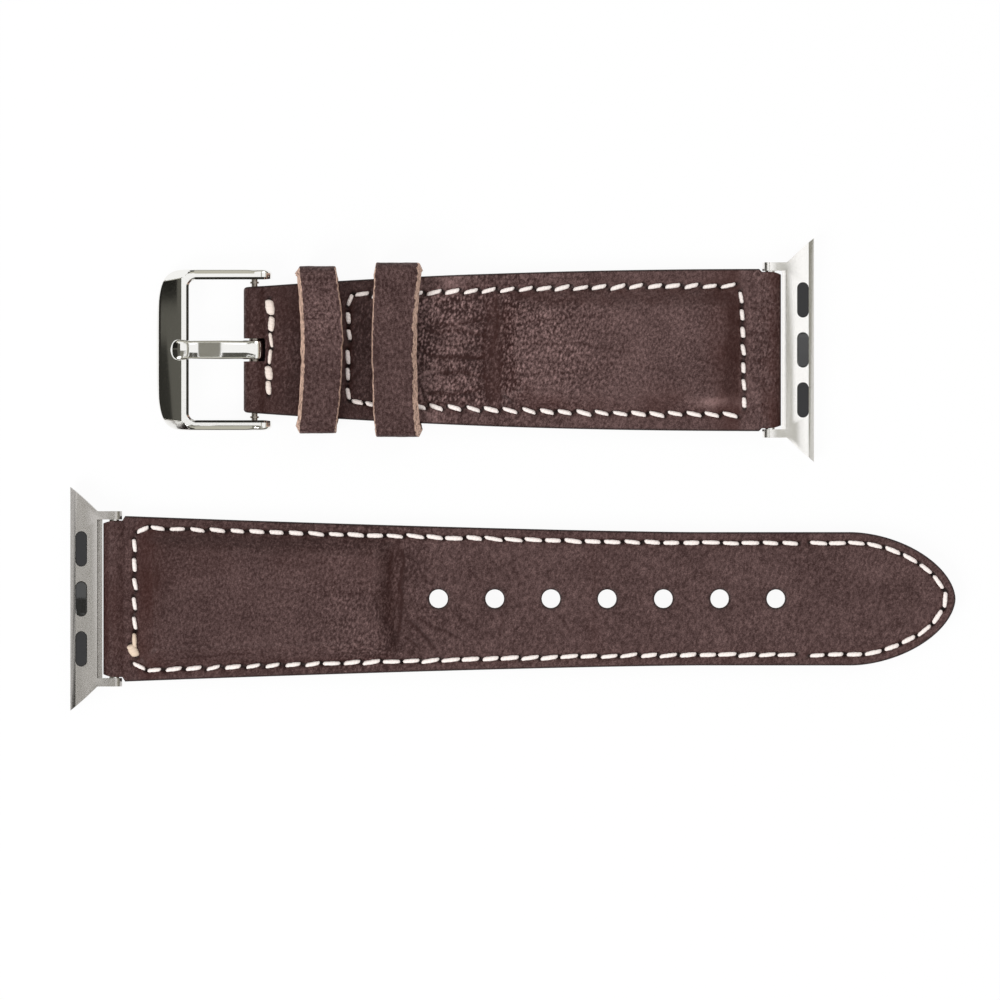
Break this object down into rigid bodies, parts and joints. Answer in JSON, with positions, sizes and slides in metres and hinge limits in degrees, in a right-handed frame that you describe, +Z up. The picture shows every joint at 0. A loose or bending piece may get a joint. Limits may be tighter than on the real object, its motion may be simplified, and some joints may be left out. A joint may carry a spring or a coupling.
{
  "type": "watch strap",
  "caption": "Two-piece padded leather watch strap with stitched edges, pin buckle, a fixed and a free keeper, and slide-in lug adapters at both lug ends.",
  "frame": {"origin": "centre of the strap's bounding box, on the surface that it lies on", "axes": "+X from the long half's lug end towards its tip, +Y from the long half towards the short half, +Z up, out of the strap's face"},
  "size_m": [0.1228, 0.0654, 0.0069],
  "materials": {
    "leather": "dark brown smooth leather with worn, reddish edges",
    "lining": "brown lining leather",
    "keeper_leather": "dark brown leather with raw tan cut edges",
    "thread": "cream linen thread, lightly waxed",
    "felt": "hidden padding",
    "steel": "polished steel",
    "satin_steel": "satin steel with bright bevels",
    "rubber": "matte black rubber",
    "gloss_black": "glossy black button"
  },
  "bodies": {
    "short_pad": {"short_upper_1": "leather", "short_lining_1": "lining", "short_thread_1": "thread", "short_filler": "felt"},
    "short_crease": {"short_upper_2": "leather", "short_lining_2": "lining", "short_thread_2": "thread"},
    "short_end": {"short_upper_3": "leather", "short_lining_3": "lining", "short_thread_3": "thread", "fixed_keeper": "keeper_leather", "spring_bar_tube": "steel", "spring_bar_spring": "steel"},
    "free_keeper": {"free_keeper": "keeper_leather"},
    "buckle": {"buckle_frame": "steel"},
    "tongue": {"buckle_tongue": "steel"},
    "bar_tip_left": {"spring_bar_tip_left": "steel"},
    "bar_tip_right": {"spring_bar_tip_right": "steel"},
    "short_adapter": {"short_lug_adapter": "satin_steel", "short_lug_tube": "steel", "short_lug_screws": "steel", "short_lug_pads": "rubber", "short_lug_button_cover": "satin_steel", "short_lug_button_spring": "steel"},
    "short_button": {"short_lug_button": "gloss_black"},
    "long_pad": {"long_upper_1": "leather", "long_lining_1": "lining", "long_thread_1": "thread", "long_filler": "felt"},
    "long_part_2": {"long_upper_2": "leather", "long_lining_2": "lining", "long_thread_2": "thread"},
    "long_part_3": {"long_upper_3": "leather", "long_lining_3": "lining", "long_thread_3": "thread"},
    "long_part_4": {"long_upper_4": "leather", "long_lining_4": "lining", "long_thread_4": "thread"},
    "long_part_5": {"long_upper_5": "leather", "long_lining_5": "lining", "long_thread_5": "thread"},
    "long_part_6": {"long_upper_6": "leather", "long_lining_6": "lining", "long_thread_6": "thread"},
    "long_adapter": {"long_lug_adapter": "satin_steel", "long_lug_tube": "steel", "long_lug_screws": "steel", "long_lug_pads": "rubber", "long_lug_button_cover": "satin_steel", "long_lug_button_spring": "steel"},
    "long_button": {"long_lug_button": "gloss_black"}
  },
  "joints": [
    {"name": "short_flex_1", "type": "hinge", "parent": "short_pad", "child": "short_crease", "pos_m": [-0.00272, 0.01725, 0.001], "axis": [0, -1, 0], "range_deg": [0, 20]},
    {"name": "short_flex_2", "type": "hinge", "parent": "short_crease", "child": "short_end", "pos_m": [-0.00732, 0.01725, 0.00195], "axis": [0, -1, 0], "range_deg": [0, 20]},
    {"name": "free_keeper_slide", "type": "slide", "parent": "short_end", "child": "free_keeper", "axis": [1, 0, 0], "range_m": [-0.0035, 0.004]},
    {"name": "buckle_swing", "type": "hinge", "parent": "short_end", "child": "buckle", "pos_m": [-0.03583, 0.01725, 0.00245], "axis": [0, 1, 0], "range_deg": [-90, 30]},
    {"name": "tongue_swing", "type": "hinge", "parent": "buckle", "child": "tongue", "pos_m": [-0.03583, 0.01725, 0.00245], "axis": [0, 1, 0], "range_deg": [0, 75]},
    {"name": "short_lug_swing", "type": "hinge", "parent": "short_pad", "child": "short_adapter", "pos_m": [0.03567, 0.01725, 0.0015], "axis": [0, 1, 0], "range_deg": [-80, 80]},
    {"name": "long_half_move", "type": "slide", "parent": "short_pad", "child": "long_pad", "axis": [0, -1, 0], "range_m": [0, 0.03]},
    {"name": "long_lug_swing", "type": "hinge", "parent": "long_pad", "child": "long_adapter", "pos_m": [-0.05532, -0.01725, 0.0015], "axis": [0, 1, 0], "range_deg": [-80, 80]},
    {"name": "bar_tip_left_press", "type": "slide", "parent": "short_end", "child": "bar_tip_left", "axis": [0, 1, 0], "range_m": [0, 0.00115], "stiffness_N_per_m": 300, "deforming": ["spring_bar_spring"]},
    {"name": "bar_tip_right_press", "type": "slide", "parent": "short_end", "child": "bar_tip_right", "axis": [0, -1, 0], "range_m": [0, 0.00115], "stiffness_N_per_m": 300, "deforming": ["spring_bar_spring"]},
    {"name": "short_button_press", "type": "slide", "parent": "short_adapter", "child": "short_button", "axis": [0, 0, -1], "range_m": [0, 0.0006], "stiffness_N_per_m": 150, "deforming": ["short_lug_button_spring"]},
    {"name": "long_button_press", "type": "slide", "parent": "long_adapter", "child": "long_button", "axis": [0, 0, -1], "range_m": [0, 0.0006], "stiffness_N_per_m": 150, "deforming": ["long_lug_button_spring"]},
    {"name": "long_flex_1", "type": "hinge", "parent": "long_pad", "child": "long_part_2", "pos_m": [-0.01422, -0.01725, 0.001], "axis": [0, 1, 0], "range_deg": [0, 26]},
    {"name": "long_flex_2", "type": "hinge", "parent": "long_part_2", "child": "long_part_3", "pos_m": [0.00137, -0.01725, 0.001], "axis": [0, 1, 0], "range_deg": [0, 26]},
    {"name": "long_flex_3", "type": "hinge", "parent": "long_part_3", "child": "long_part_4", "pos_m": [0.01698, -0.01725, 0.001], "axis": [0, 1, 0], "range_deg": [0, 26]},
    {"name": "long_flex_4", "type": "hinge", "parent": "long_part_4", "child": "long_part_5", "pos_m": [0.03257, -0.01725, 0.001], "axis": [0, 1, 0], "range_deg": [0, 26]},
    {"name": "long_flex_5", "type": "hinge", "parent": "long_part_5", "child": "long_part_6", "pos_m": [0.04818, -0.01725, 0.001], "axis": [0, 1, 0], "range_deg": [0, 26]}
  ],
  "couplings": [
    {"joint": "short_flex_2", "follows": "short_flex_1", "ratio": 1},
    {"joint": "long_flex_2", "follows": "long_flex_1", "ratio": 1},
    {"joint": "long_flex_3", "follows": "long_flex_1", "ratio": 1},
    {"joint": "long_flex_4", "follows": "long_flex_1", "ratio": 1},
    {"joint": "long_flex_5", "follows": "long_flex_1", "ratio": 1}
  ]
}
